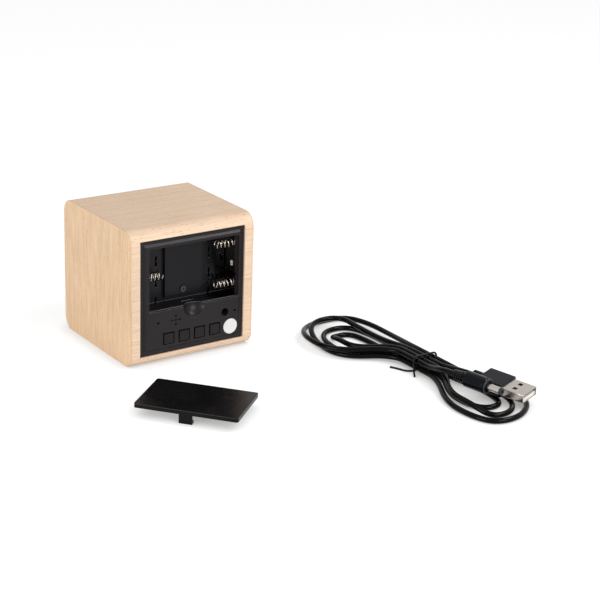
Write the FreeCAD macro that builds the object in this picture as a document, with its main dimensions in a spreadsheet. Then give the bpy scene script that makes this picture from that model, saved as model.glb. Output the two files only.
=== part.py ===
"""Talking clock: a wooden cube with a black rear panel, its open battery compartment,
the loose battery cover and the tied supply lead.

Millimetres. +Z is up, the display looks along -Y, the rear panel along +Y.
The origin is the middle of the cube's base, on the surface that it stands on.
"""
import FreeCAD, Part
import Sketcher
import math
import os
import re

# Driving dimensions: (name, value)
CASE_SIZES = [
    ("case_width", 70.0),
    ("case_depth", 70.0),
    ("case_height", 70.0),
    ("case_corner", 7.0),
    ("board_wall", 5.0),
    ("veneer", 0.6),
    ("joint_gap", 0.05),
    ("ledge_depth", 2.5),
    ("ledge_width", 1.3),
    ("window_skin", 0.8),
    ("window_width_share", 0.8333),
    ("window_height_share", 0.4333),
    ("overrun", 1.0),
    ("sight_gap", 0.3),
]
PANEL_SIZES = [
    ("panel_gap", 0.15),
    ("panel_recess", 1.0),
    ("rim_thickness", 1.5),
    ("rim_width", 2.2),
    ("panel_corner", 1.0),
    ("plateau_rise", 0.9),
    ("opening_margin_left", 3.3),
    ("opening_margin_right", 5.0),
    ("opening_margin_low", 22.55),
    ("opening_margin_top", 4.55),
    ("opening_corner", 1.2),
    ("well_corner", 0.5),
    ("cover_seat", 1.5),
    ("cover_ledge", 0.5),
    ("well_floor", 1.5),
    ("well_wall", 1.3),
    ("well_depth", 11.6),
    ("block_width_share", 0.44),
    ("block_margin_top", 0.75),
    ("block_margin_low", 2.2),
    ("block_rise", 1.2),
    ("block_corner", 5.0),
    ("block_lip_width", 1.2),
    ("block_lip_rise", 0.5),
    ("floor_slot_width", 0.9),
    ("floor_slot_length", 5.4),
    ("floor_slot_gap", 4.1),
    ("floor_slot_eye", 0.5),
    ("scoop_radius", 7.0),
    ("scoop_lift", 3.0),
    ("scoop_shell", 1.2),
    ("latch_slot_width", 7.2),
    ("latch_slot_height", 2.2),
    ("lug_slot_width", 4.6),
    ("lug_slot_height", 1.6),
    ("lug_spacing", 26.0),
    ("boss_radius", 2.2),
    ("screw_hole_radius", 1.1),
]
CONTROL_SIZES = [
    ("button_pitch_share", 0.29816),
    ("button_row_x", 0.4),
    ("button_row_z", 12.6),
    ("button_bar", 2.5),
    ("button_play", 0.55),
    ("button_corner", 0.5),
    ("button_proud", 0.2),
    ("button_skirt_gap", 1.5),
    ("button_skirt_thickness", 0.9),
    ("button_free_gap", 0.3),
    ("switch_travel_gap", 0.5),
    ("switch_gap", 2.9),
    ("switch_plunger", 0.8),
    ("switch_plunger_radius", 1.7),
    ("mic_margin", 10.05),
    ("mic_hole_z", 21.6),
    ("mic_hole_radius", 0.7),
    ("mic_radius", 3.0),
    ("mic_leg_share", 0.45),
    ("mic_length", 2.6),
    ("sound_hole_x", 9.7),
    ("sound_hole_z", 21.6),
    ("sound_hole_radius", 0.55),
    ("sound_hole_pitch", 2.2),
    ("jack_margin", 10.95),
    ("jack_z", 20.5),
    ("jack_hole_radius", 2.1),
    ("jack_width", 7.6),
    ("jack_height", 6.6),
    ("jack_length", 10.6),
    ("jack_bore_radius", 1.85),
    ("jack_bore_depth", 9.0),
    ("jack_pin_radius", 0.5),
    ("jack_pin_length", 8.0),
    ("reset_margin", 5.1),
    ("reset_hole_radius", 0.65),
    ("reset_width", 2.6),
    ("reset_body", 3.8),
    ("sticker_shift", 0.8),
    ("sticker_z", 12.4),
    ("sticker_radius", 4.0),
    ("sticker_thickness", 0.15),
]
BATTERY_SIZES = [
    ("cell_pitch_share", 0.32822),
    ("cell_axis_depth", 6.6),
    ("contact_thickness", 0.4),
    ("contact_play", 1.3),
    ("contact_depth", 7.6),
    ("contact_nub_radius", 2.4),
    ("contact_nub_rise", 1.0),
    ("contact_nub_share", 0.7),
    ("spring_wire", 0.7),
    ("spring_length", 9.6),
    ("spring_base_radius", 2.5),
    ("spring_tip_radius", 2.1),
    ("panel_screw_x", -0.35),
    ("screw_head_radius", 1.5),
    ("screw_head_height", 0.9),
    ("screw_recess", 0.5),
    ("screw_shank_radius", 1.0),
    ("screw_slot_width", 0.5),
    ("screw_slot_share", 0.62),
    ("screw_bite", 6.0),
]
INSIDE_SIZES = [
    ("film_thickness", 0.4),
    ("film_margin", 0.6),
    ("light_box_depth", 4.5),
    ("digit_width_share", 0.14),
    ("digit_height_share", 0.577),
    ("digit_pitch_share", 0.212),
    ("digit_pair_gap_share", 0.072),
    ("segment_width", 1.7),
    ("segment_end_share", 1.2),
    ("colon_radius", 0.9),
    ("colon_spacing", 6.0),
    ("board_thickness", 1.6),
    ("led_length", 1.6),
    ("led_height", 0.8),
    ("tray_wall", 1.8),
    ("tray_margin", 3.4),
    ("tray_floor", 1.8),
    ("tray_ear", 5.0),
    ("post_radius", 3.6),
    ("main_board_margin", 2.35),
    ("main_board_gap", 0.85),
    ("main_board_base", 7.2),
    ("main_board_depth", 5.6),
    ("board_boss_inset", 2.3),
    ("board_boss_rise", 2.4),
    ("board_boss_drop", 4.3),
    ("board_screw_head", 1.7),
    ("speaker_radius", 8.9),
    ("speaker_x", 10.0),
    ("speaker_z", 16.6),
    ("speaker_depth", 2.6),
    ("speaker_wall", 0.8),
    ("sound_window_radius", 4.2),
    ("cone_throat_radius", 3.2),
    ("cone_thickness", 0.35),
    ("magnet_radius", 5.0),
    ("magnet_height", 2.4),
    ("chip_length", 6.0),
    ("chip_width", 4.0),
    ("chip_height", 1.4),
    ("ribbon_width", 12.0),
    ("ribbon_thickness", 0.8),
    ("ribbon_bend", 3.0),
    ("ribbon_drop", 3.6),
]
COVER_SIZES = [
    ("cover_play_x", 0.5),
    ("cover_play_z", 0.4),
    ("cover_corner", 1.2),
    ("cover_plate", 2.0),
    ("cover_hollow", 0.9),
    ("cover_skirt", 1.4),
    ("cover_stand", 4.5),
    ("latch_width", 6.4),
    ("latch_thickness", 1.1),
    ("latch_gap", 1.6),
    ("latch_barb", 0.7),
    ("lug_width", 3.8),
    ("lug_thickness", 1.2),
    ("cover_x", 32.7),
    ("cover_y", 92.9),
    ("cover_angle", 129.6),
]
LEAD_SIZES = [
    ("cord_radius", 1.4),
    ("tie_x", -93.0),
    ("tie_y", 103.0),
    ("tie_wire", 0.5),
    ("tie_drift_share", 2.2),
    ("relief_groove_share", 0.6),
    ("relief_length", 7.0),
    ("relief_back_radius", 2.2),
    ("relief_front_radius", 3.0),
    ("relief_ribs", 5.0),
    ("relief_groove", 0.5),
    ("dc_body_radius", 4.0),
    ("dc_body_length", 13.6),
    ("dc_nose_radius", 3.1),
    ("dc_nose_length", 1.2),
    ("dc_barrel_radius", 1.75),
    ("dc_barrel_bore", 0.7),
    ("dc_barrel_length", 8.4),
    ("dc_tip_length", 1.1),
    ("usb_shell_width", 12.0),
    ("usb_shell_height", 4.5),
    ("usb_shell_length", 12.4),
    ("usb_shell_wall", 0.4),
    ("usb_shell_corner", 0.6),
    ("usb_window", 2.2),
    ("usb_window_spacing", 5.0),
    ("usb_window_place", 4.6),
    ("usb_body_width", 14.8),
    ("usb_body_height", 6.6),
    ("usb_body_length", 13.4),
    ("usb_body_corner", 1.6),
    ("usb_neck_radius", 2.7),
    ("usb_neck_length", 5.6),
    ("usb_tongue_height", 1.8),
    ("usb_tongue_gap", 0.3),
    ("usb_contact_width", 1.0),
    ("usb_contact_pitch", 2.3),
    ("usb_contact_height", 0.2),
]

doc = FreeCAD.newDocument("talking_clock")
sizes = doc.addObject("Spreadsheet::Sheet", "sizes")
names = []
ALL_SIZES = (CASE_SIZES + PANEL_SIZES + CONTROL_SIZES + BATTERY_SIZES
             + INSIDE_SIZES + COVER_SIZES + LEAD_SIZES)
for name, value in ALL_SIZES:
    names.append(name)
    sizes.set("A%d" % len(names), name)
    sizes.set("B%d" % len(names), repr(value))
    sizes.setAlias("B%d" % len(names), name)
doc.recompute()

# Places that follow from the driving dimensions
DERIVED = {
    "half_width": "case_width / 2",
    "half_depth": "case_depth / 2",
    "cavity_y": "half_depth - board_wall",
    "cavity_x": "case_width / 2 - board_wall",
    "middle_z": "case_height / 2",
    "board_x": "half_width - veneer",
    "window_width": "cavity_x * 2 * window_width_share",
    "window_height": "(case_height - board_wall * 2) * window_height_share",
    "window_low": "middle_z - window_height / 2",
    "window_high": "middle_z + window_height / 2",
    "panel_half": "cavity_x - panel_gap",
    "panel_half_z": "case_height / 2 - board_wall - panel_gap",
    "rim_face": "half_depth - panel_recess",
    "rim_back": "rim_face - rim_thickness",
    "panel_face": "rim_face + plateau_rise",
    "opening_left": "opening_margin_left - panel_half",
    "opening_right": "panel_half - opening_margin_right",
    "opening_low": "middle_z - panel_half_z + opening_margin_low",
    "opening_high": "middle_z + panel_half_z - opening_margin_top",
    "opening_mid_x": "(opening_left + opening_right) / 2",
    "seat_y": "panel_face - cover_seat",
    "well_left": "opening_left + cover_ledge / 2",
    "well_right": "opening_right - cover_ledge / 2",
    "well_low": "opening_low + cover_ledge / 2",
    "well_high": "opening_high - cover_ledge / 2",
    "floor_y": "panel_face - well_depth",
    "floor_back": "floor_y - well_floor",
    "block_y": "floor_y + block_rise",
    "block_left": "opening_mid_x - (opening_right - opening_left) * block_width_share / 2",
    "block_right": "opening_mid_x + (opening_right - opening_left) * block_width_share / 2",
    "block_low": "well_low + block_margin_low",
    "block_high": "well_high - block_margin_top",
    "scoop_y": "panel_face + scoop_lift",
    "scoop_back": "scoop_y - scoop_radius - scoop_shell",
    "cell_pitch": "(opening_high - opening_low) * cell_pitch_share",
    "row_middle": "(opening_low + opening_high) / 2",
    "row_top": "row_middle + cell_pitch",
    "row_bottom": "row_middle - cell_pitch",
    "contact_height": "cell_pitch - contact_play",
    "cell_y": "panel_face - cell_axis_depth",
    "contact_low_y": "cell_y - contact_depth / 2",
    "contact_high_y": "cell_y + contact_depth / 2",
    "screw_z": "row_bottom",
    "screw_seat_y": "block_y - screw_recess",
    "button_pitch": "panel_half * button_pitch_share",
    "button_opening": "button_pitch - button_bar",
    "button_width": "button_opening - button_play * 2",
    "button_skirt": "button_pitch - button_skirt_gap",
    "switch_width": "button_pitch - switch_gap",
    "mic_hole_x": "panel_half - mic_margin",
    "jack_x": "jack_margin - panel_half",
    "reset_x": "reset_margin - panel_half",
    "sticker_x": "(button_row_x - button_pitch * 1.5 - button_opening / 2 - panel_half) / 2 + sticker_shift",
    "main_board_half": "panel_half - main_board_margin",
    "main_board_height": "well_low - well_wall - main_board_gap - main_board_base",
    "board_boss_x": "main_board_half - board_boss_inset",
    "board_boss_z": "main_board_base + board_boss_rise",
    "board_boss_top": "main_board_base + main_board_height - board_boss_drop",
    "main_board_face": "rim_back - main_board_depth",
    "main_board_back": "main_board_face - board_thickness",
    "button_back": "rim_back - button_free_gap",
    "button_heel": "button_back - button_skirt_thickness",
    "button_top": "panel_face + button_proud",
    "switch_face": "button_heel - switch_travel_gap",
    "skin_y": "window_skin - half_depth",
    "film_back": "skin_y + joint_gap + film_thickness",
    "light_box_front": "film_back + joint_gap",
    "light_box_back": "light_box_front + light_box_depth",
    "leds_board_front": "light_box_back + joint_gap",
    "leds_board_back": "leds_board_front + board_thickness",
    "tray_front": "joint_gap - cavity_y",
    "tray_seat": "leds_board_back + joint_gap",
    "tray_back": "tray_seat + tray_floor",
    "digit_width": "window_width * digit_width_share",
    "digit_height": "window_height * digit_height_share",
    "digit_pitch": "window_width * digit_pitch_share",
    "digit_pair_gap": "window_width * digit_pair_gap_share",
    "cover_width": "opening_right - opening_left - cover_play_x * 2",
    "cover_height": "opening_high - opening_low - cover_play_z * 2",
    "tray_half_x": "window_width / 2 + tray_margin",
    "tray_half_z": "window_height / 2 + tray_margin",
    "speaker_rim": "main_board_back - joint_gap",
    "speaker_back": "speaker_rim - speaker_depth",
}


def bound(text):
    """The same formula with every size read from the sheet."""
    def swap(word):
        key = word.group()
        if key in DERIVED:
            return "(" + bound(DERIVED[key]) + ")"
        return "sizes." + key if key in names else key
    return re.sub(r"[a-z]\w*", swap, text)


def number(text):
    """The value that a formula has now."""
    return float(sizes.evalExpression(bound(text)))


# Sketches and pads

PLANES = {"XY": "XY_Plane", "XZ": "XZ_Plane", "YZ": "YZ_Plane"}


def new_body(name):
    return doc.addObject("PartDesign::Body", name)


def new_sketch(body, plane, level):
    sketch = body.newObject("Sketcher::SketchObject", body.Name + "_outline")
    support = [item for item in body.Origin.OriginFeatures if item.Role == PLANES[plane]][0]
    sketch.AttachmentSupport = [(support, "")]
    sketch.MapMode = "FlatFace"
    sketch.setExpression("AttachmentOffset.Base.z", bound(level))
    return sketch


def hold(sketch, text, kind, *where):
    """Add one dimension whose value follows a formula."""
    index = sketch.addConstraint(Sketcher.Constraint(kind, *where, number(text)))
    sketch.setExpression("Constraints[%d]" % index, bound(text))


def circle(across, up, radius):
    def draw(sketch):
        centre = FreeCAD.Vector(number(across), number(up), 0)
        item = sketch.addGeometry(Part.Circle(centre, FreeCAD.Vector(0, 0, 1), number(radius)))
        hold(sketch, across, "DistanceX", -1, 1, item, 3)
        hold(sketch, up, "DistanceY", -1, 1, item, 3)
        hold(sketch, radius, "Radius", item)
    return draw


def rectangle(left, right, low, high):
    def draw(sketch):
        corners = [(left, low), (right, low), (right, high), (left, high)]
        points = [FreeCAD.Vector(number(a), number(b), 0) for a, b in corners]
        lines = [sketch.addGeometry(Part.LineSegment(points[i], points[(i + 1) % 4])) for i in range(4)]
        for i in range(4):
            sketch.addConstraint(Sketcher.Constraint("Coincident", lines[i], 2, lines[(i + 1) % 4], 1))
            sketch.addConstraint(Sketcher.Constraint("Vertical" if i % 2 else "Horizontal", lines[i]))
        hold(sketch, left, "DistanceX", -1, 1, lines[0], 1)
        hold(sketch, right, "DistanceX", -1, 1, lines[0], 2)
        hold(sketch, low, "DistanceY", -1, 1, lines[0], 1)
        hold(sketch, high, "DistanceY", -1, 1, lines[2], 1)
    return draw


def rounded(left, right, low, high, radius):
    """A rectangle with its four corners rounded."""
    def draw(sketch):
        x0, x1, y0, y1, r = [number(text) for text in (left, right, low, high, radius)]
        point = FreeCAD.Vector
        sides = [
            Part.LineSegment(point(x0 + r, y0, 0), point(x1 - r, y0, 0)),
            Part.LineSegment(point(x1, y0 + r, 0), point(x1, y1 - r, 0)),
            Part.LineSegment(point(x1 - r, y1, 0), point(x0 + r, y1, 0)),
            Part.LineSegment(point(x0, y1 - r, 0), point(x0, y0 + r, 0)),
        ]
        centres = [(x1 - r, y0 + r), (x1 - r, y1 - r), (x0 + r, y1 - r), (x0 + r, y0 + r)]
        lines = [sketch.addGeometry(side) for side in sides]
        arcs = []
        for i, (cx, cy) in enumerate(centres):
            whole = Part.Circle(point(cx, cy, 0), point(0, 0, 1), r)
            start = (i - 1) * math.pi / 2
            arcs.append(sketch.addGeometry(Part.ArcOfCircle(whole, start, start + math.pi / 2)))
        for i in range(4):
            sketch.addConstraint(Sketcher.Constraint("Tangent", lines[i], 2, arcs[i], 1))
            sketch.addConstraint(Sketcher.Constraint("Tangent", arcs[i], 2, lines[(i + 1) % 4], 1))
            sketch.addConstraint(Sketcher.Constraint("Vertical" if i % 2 else "Horizontal", lines[i]))
        for arc in arcs[1:]:
            sketch.addConstraint(Sketcher.Constraint("Equal", arcs[0], arc))
        hold(sketch, radius, "Radius", arcs[0])
        hold(sketch, left, "DistanceX", -1, 1, lines[3], 1)
        hold(sketch, right, "DistanceX", -1, 1, lines[1], 1)
        hold(sketch, low, "DistanceY", -1, 1, lines[0], 1)
        hold(sketch, high, "DistanceY", -1, 1, lines[2], 1)
    return draw


def one_corner(left, right, low, high, radius):
    """A rectangle whose corner at the left and low sides is rounded."""
    def draw(sketch):
        x0, x1, y0, y1, r = [number(text) for text in (left, right, low, high, radius)]
        corners = [(x0 + r, y0), (x1, y0), (x1, y1), (x0, y1), (x0, y0 + r)]
        points = [FreeCAD.Vector(a, b, 0) for a, b in corners]
        lines = [sketch.addGeometry(Part.LineSegment(points[i], points[i + 1])) for i in range(4)]
        whole = Part.Circle(FreeCAD.Vector(x0 + r, y0 + r, 0), FreeCAD.Vector(0, 0, 1), r)
        arc = sketch.addGeometry(Part.ArcOfCircle(whole, math.pi, math.pi * 3 / 2))
        for i in range(3):
            sketch.addConstraint(Sketcher.Constraint("Coincident", lines[i], 2, lines[i + 1], 1))
        for i in range(4):
            sketch.addConstraint(Sketcher.Constraint("Vertical" if i % 2 else "Horizontal", lines[i]))
        sketch.addConstraint(Sketcher.Constraint("Tangent", lines[3], 2, arc, 1))
        sketch.addConstraint(Sketcher.Constraint("Tangent", arc, 2, lines[0], 1))
        hold(sketch, radius, "Radius", arc)
        hold(sketch, left, "DistanceX", -1, 1, lines[3], 1)
        hold(sketch, right, "DistanceX", -1, 1, lines[1], 1)
        hold(sketch, low, "DistanceY", -1, 1, lines[0], 1)
        hold(sketch, high, "DistanceY", -1, 1, lines[2], 1)
    return draw


def slit(middle, low, high):
    """A slit along the second axis, with a wider pointed eye half-way."""
    half = "floor_slot_width / 2"
    wide = "floor_slot_width / 2 + floor_slot_eye"
    centre = "(%s + %s) / 2" % (low, high)
    outline = [
        (middle + " - " + half, low),
        (middle + " + " + half, low),
        (middle + " + " + half, centre + " - floor_slot_eye"),
        (middle + " + " + wide, centre),
        (middle + " + " + half, centre + " + floor_slot_eye"),
        (middle + " + " + half, high),
        (middle + " - " + half, high),
        (middle + " - " + half, centre + " + floor_slot_eye"),
        (middle + " - " + wide, centre),
        (middle + " - " + half, centre + " - floor_slot_eye"),
    ]

    def draw(sketch):
        points = [FreeCAD.Vector(number(a), number(b), 0) for a, b in outline]
        count = len(points)
        sides = [Part.LineSegment(points[i], points[(i + 1) % count]) for i in range(count)]
        lines = [sketch.addGeometry(side) for side in sides]
        for i in range(count):
            sketch.addConstraint(Sketcher.Constraint("Coincident", lines[i], 2, lines[(i + 1) % count], 1))
        for line, (across, up) in zip(lines, outline):
            hold(sketch, across, "DistanceX", -1, 1, line, 1)
            hold(sketch, up, "DistanceY", -1, 1, line, 1)
    return draw


def slab(body, plane, low, high, *outlines):
    """Material between two levels across a plane."""
    sketch = new_sketch(body, plane, "0 - (%s)" % high if plane == "XZ" else low)
    for draw in outlines:
        draw(sketch)
    pad = body.newObject("PartDesign::Pad", body.Name + "_pad")
    pad.Profile = sketch
    pad.setExpression("Length", bound("(%s) - (%s)" % (high, low)))
    return pad


def hollow(body, plane, low, high, *outlines):
    """A cut between two levels across a plane."""
    sketch = new_sketch(body, plane, "0 - (%s)" % low if plane == "XZ" else high)
    for draw in outlines:
        draw(sketch)
    pocket = body.newObject("PartDesign::Pocket", body.Name + "_pocket")
    pocket.Profile = sketch
    pocket.setExpression("Length", bound("(%s) - (%s)" % (high, low)))
    return pocket


def edges_where(body, test):
    """Names of the edges of the body's last feature that pass a test."""
    doc.recompute()
    edges = body.Tip.Shape.Edges
    return ["Edge%d" % (i + 1) for i, edge in enumerate(edges) if test(edge)]


def soften(body, kind, edge_names, amount):
    """A fillet or chamfer on chosen edges."""
    base = body.Tip
    feature = body.newObject("PartDesign::" + kind, body.Name + "_" + kind.lower())
    feature.Base = (base, edge_names)
    feature.setExpression("Radius" if kind == "Fillet" else "Size", bound(amount))
    return feature


# Plain solids

TURNS = {
    "X": FreeCAD.Rotation(FreeCAD.Vector(0, 1, 0), 90),
    "Y": FreeCAD.Rotation(FreeCAD.Vector(1, 0, 0), -90),
    "Z": FreeCAD.Rotation(),
}


def stand(item, axis, level, across, up):
    """Put a round solid on an axis; across and up are its other two places in X, Y, Z order."""
    item.Placement = FreeCAD.Placement(FreeCAD.Vector(), TURNS[axis])
    order = {"X": (level, across, up), "Y": (across, level, up), "Z": (across, up, level)}[axis]
    for letter, text in zip("xyz", order):
        item.setExpression("Placement.Base." + letter, bound(text))
    return item


def rod(axis, radius, low, high, across, up):
    item = doc.addObject("Part::Cylinder", "rod")
    item.setExpression("Radius", bound(radius))
    item.setExpression("Height", bound("(%s) - (%s)" % (high, low)))
    return stand(item, axis, low, across, up)


def taper(axis, first, last, low, high, across, up):
    item = doc.addObject("Part::Cone", "taper")
    item.setExpression("Radius1", bound(first))
    item.setExpression("Radius2", bound(last))
    item.setExpression("Height", bound("(%s) - (%s)" % (high, low)))
    return stand(item, axis, low, across, up)


def ball(radius, x, y, z):
    item = doc.addObject("Part::Sphere", "ball")
    item.setExpression("Radius", bound(radius))
    return stand(item, "Z", z, x, y)


def block(x0, x1, y0, y1, z0, z1):
    item = doc.addObject("Part::Box", "block")
    for side, low, high in (("Length", x0, x1), ("Width", y0, y1), ("Height", z0, z1)):
        item.setExpression(side, bound("(%s) - (%s)" % (high, low)))
    return stand(item, "Z", z0, x0, y0)


def join(*items):
    if len(items) == 1:
        return items[0]
    result = doc.addObject("Part::MultiFuse", "join")
    result.Shapes = list(items)
    return result


def minus(base, *tools):
    result = doc.addObject("Part::Cut", "cut")
    result.Base = base
    result.Tool = join(*tools)
    return result


def together(*items):
    """Several separate solids in one piece of the list."""
    result = doc.addObject("Part::Compound", "group")
    result.Links = list(items)
    return result


def wound(name, shape):
    result = doc.addObject("Part::Feature", name)
    result.Shape = shape
    return result


SUBPARTS = {}


def piece(name, item):
    """Name a finished sub-part."""
    item.Label = name
    SUBPARTS[name] = item
    return item


def lay(item, x, y, z, turn, tilt, roll):
    """Move a sub-part built in its own frame to its place."""
    item.Placement = FreeCAD.Placement(FreeCAD.Vector(), FreeCAD.Rotation(turn, tilt, roll))
    for letter, text in zip("xyz", (x, y, z)):
        item.setExpression("Placement.Base." + letter, bound(text))


# Case

def case_wrap():
    body = new_body("wrap")
    slab(body, "YZ", "0 - board_x", "board_x",
         rounded("0 - half_depth", "half_depth", "0", "case_height", "case_corner"))
    hollow(body, "YZ", "0 - board_x - overrun", "board_x + overrun",
           rectangle("0 - cavity_y", "cavity_y", "board_wall", "case_height - board_wall"))
    hollow(body, "XZ", "cavity_y - overrun", "half_depth + overrun",
           rectangle("ledge_width - cavity_x", "cavity_x - ledge_width",
                     "board_wall + ledge_width", "case_height - board_wall - ledge_width"))
    hollow(body, "XZ", "half_depth - ledge_depth", "half_depth + overrun",
           rectangle("0 - cavity_x", "cavity_x", "board_wall", "case_height - board_wall"))
    hollow(body, "XZ", "skin_y", "overrun - cavity_y",
           rectangle("0 - window_width / 2", "window_width / 2", "window_low", "window_high"))
    piece("case_wrap", body)


def case_sides():
    for name, inner, outer in (("left", "0 - board_x", "0 - cavity_x"), ("right", "cavity_x", "board_x")):
        body = new_body("side_board")
        slab(body, "YZ", inner, outer,
             rectangle("joint_gap - cavity_y", "cavity_y - joint_gap",
                       "board_wall + joint_gap", "case_height - board_wall - joint_gap"))
        piece("side_board_" + name, body)
    for name, inner, outer in (("left", "0 - half_width", "0 - board_x"), ("right", "board_x", "half_width")):
        body = new_body("side_veneer")
        slab(body, "YZ", inner, outer,
             rounded("0 - half_depth", "half_depth", "0", "case_height", "case_corner"))
        piece("side_veneer_" + name, body)


# Rear panel with its battery compartment

BUTTON_STEPS = (1.5, 0.5, -0.5, -1.5)
BOARD_SCREW_PLACES = (
    ("0 - board_boss_x", "board_boss_z"),
    ("board_boss_x", "board_boss_z"),
    ("board_boss_x", "board_boss_top"),
)


def button_x(step):
    return "button_row_x + button_pitch * (%s)" % step


def around(centre_x, centre_z, width, height):
    """The four sides of a rectangle about a centre."""
    return ("(%s) - (%s) / 2" % (centre_x, width), "(%s) + (%s) / 2" % (centre_x, width),
            "(%s) - (%s) / 2" % (centre_z, height), "(%s) + (%s) / 2" % (centre_z, height))


def rear_panel():
    body = new_body("panel")
    low, high = "middle_z - panel_half_z", "middle_z + panel_half_z"
    slab(body, "XZ", "rim_back", "rim_face",
         rounded("0 - panel_half", "panel_half", low, high, "panel_corner"))
    plateau = slab(body, "XZ", "rim_face", "panel_face",
                   rectangle("rim_width - panel_half", "panel_half - rim_width",
                             low + " + rim_width", high + " - rim_width"))
    face = number("panel_face")
    touch = number("joint_gap")
    bevels = edges_where(body, lambda edge: all(abs(v.Point.y - face) < touch for v in edge.Vertexes))
    soften(body, "Chamfer", bevels, "plateau_rise - joint_gap")
    slab(body, "XZ", "floor_back", "rim_face",
         rectangle("well_left - well_wall", "well_right + well_wall",
                   "well_low - well_wall", "well_high + well_wall"))
    slab(body, "XZ", "scoop_back", "rim_back",
         rounded("opening_mid_x - scoop_radius - scoop_shell", "opening_mid_x + scoop_radius + scoop_shell",
                 "opening_low - scoop_radius", "opening_low + scoop_shell", "scoop_shell"))
    for x, z in BOARD_SCREW_PLACES:
        slab(body, "XZ", "main_board_face", "rim_back", circle(x, z, "boss_radius"))
    hollow(body, "XZ", "seat_y", "panel_face + overrun",
           rounded("opening_left", "opening_right", "opening_low", "opening_high", "opening_corner"))
    hollow(body, "XZ", "floor_y", "panel_face + overrun",
           rounded("well_left", "well_right", "well_low", "well_high", "well_corner"))
    slab(body, "XZ", "floor_y", "block_y", one_corner("block_left", "block_right", "block_low", "block_high",
                                                      "block_corner"))
    slab(body, "XZ", "block_y", "block_y + block_lip_rise",
         rectangle("block_right - block_lip_width", "block_right", "block_low", "block_high"))
    slots = []
    for middle in ("block_left - floor_slot_gap", "block_right + floor_slot_gap"):
        for row in ("row_top", "row_middle", "row_bottom"):
            low, high = around(middle, row + " - cell_pitch / 2", "floor_slot_width", "floor_slot_length")[2:]
            slots.append(slit(middle, low, high))
    hollow(body, "XZ", "floor_back - overrun", "floor_y + overrun", *slots)
    hollow(body, "XZ", "screw_seat_y", "block_y + overrun",
           circle("panel_screw_x", "screw_z", "screw_head_radius + sight_gap"))
    hollow(body, "XZ", "floor_back - overrun", "block_y + overrun",
           circle("panel_screw_x", "screw_z", "screw_hole_radius"))
    hollow(body, "XZ", "scoop_back - latch_slot_height", "scoop_back",
           rectangle(*around("opening_mid_x", "well_low", "latch_slot_width", "well_wall")))
    for step in (-0.5, 0.5):
        hollow(body, "XZ", "seat_y - cover_stand", "seat_y - cover_seat / 2",
               rectangle(*around("opening_mid_x + lug_spacing * (%s)" % step, "well_high",
                                 "lug_slot_width", "lug_slot_height")))
    controls = [rectangle(*around(button_x(step), "button_row_z", "button_opening", "button_opening"))
                for step in BUTTON_STEPS]
    controls.append(circle("mic_hole_x", "mic_hole_z", "mic_hole_radius"))
    controls.append(circle("jack_x", "jack_z", "jack_hole_radius"))
    controls.append(circle("reset_x", "jack_z", "reset_hole_radius"))
    for across, up in ((0, 0), (1, 0), (-1, 0), (0, 1), (0, -1)):
        controls.append(circle("sound_hole_x + sound_hole_pitch * (%d)" % across,
                               "sound_hole_z + sound_hole_pitch * (%d)" % up, "sound_hole_radius"))
    hollow(body, "XZ", "rim_back - overrun", "panel_face + overrun", *controls)
    for x, z in BOARD_SCREW_PLACES:
        hollow(body, "XZ", "main_board_face - overrun", "rim_back", circle(x, z, "screw_hole_radius"))
    scoop = ball("scoop_radius", "opening_mid_x", "scoop_y", "opening_low")
    piece("rear_panel", minus(body, scoop))


def panel_screw():
    head = rod("Y", "screw_head_radius", "screw_seat_y", "screw_seat_y + screw_head_height",
               "panel_screw_x", "screw_z")
    shank = rod("Y", "screw_shank_radius", "floor_back - joint_gap - screw_bite", "screw_seat_y",
                "panel_screw_x", "screw_z")
    reach = "screw_head_radius * screw_slot_share"
    top = "screw_seat_y + screw_head_height"
    half = "screw_slot_width / 2"
    cross = [
        block("panel_screw_x - " + reach, "panel_screw_x + " + reach, top + " - screw_slot_width",
              top + " + overrun", "screw_z - " + half, "screw_z + " + half),
        block("panel_screw_x - " + half, "panel_screw_x + " + half, top + " - screw_slot_width",
              top + " + overrun", "screw_z - " + reach, "screw_z + " + reach),
    ]
    piece("panel_screw", minus(join(head, shank), *cross))


def panel_sticker():
    piece("panel_sticker", rod("Y", "sticker_radius", "panel_face", "panel_face + sticker_thickness",
                               "sticker_x", "sticker_z"))


def contact_plate(name, side, rows, buttons):
    """A bent plate against one end wall; side is -1 or 1, rows are the cells that it serves."""
    wall = "well_left + joint_gap" if side < 0 else "well_right - joint_gap - contact_thickness"
    low, high = rows[-1] + " - contact_height / 2", rows[0] + " + contact_height / 2"
    plate = block(wall, wall + " + contact_thickness", "contact_low_y", "contact_high_y", low, high)
    parts = [plate]
    for row in buttons:
        foot = wall + " + contact_thickness / 2"
        narrow = "contact_nub_radius * contact_nub_share"
        if side < 0:
            top = wall + " + contact_thickness + contact_nub_rise"
            parts.append(taper("X", "contact_nub_radius", narrow, foot, top, "cell_y", row))
        else:
            top = wall + " - contact_nub_rise"
            parts.append(taper("X", narrow, "contact_nub_radius", top, foot, "cell_y", row))
    piece(name, join(*parts))


def contacts():
    contact_plate("contact_plate_positive", 1, ["row_top"], ["row_top"])
    contact_plate("contact_plate_upper_link", -1, ["row_top", "row_middle"], ["row_middle"])
    contact_plate("contact_plate_lower_link", 1, ["row_middle", "row_bottom"], ["row_bottom"])
    contact_plate("contact_plate_negative", -1, ["row_bottom"], [])


# Wound wires

def biarc(p0, t0, p1, t1):
    """Two arcs that leave p0 along t0 and reach p1 along t1."""
    chord = p1 - p0
    both = t0 + t1
    along = chord.dot(both)
    bend = 1 - t0.dot(t1)
    if bend < 1e-9:
        reach = chord.dot(chord) / (2 * along)
    else:
        reach = (math.sqrt(along * along + 2 * bend * chord.dot(chord)) - along) / (2 * bend)
    q0 = p0 + t0 * reach
    q1 = p1 - t1 * reach
    middle = (q0 + q1) * 0.5
    return [arc_edge(p0, q0, middle), arc_edge(middle, q1, p1)]


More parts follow.
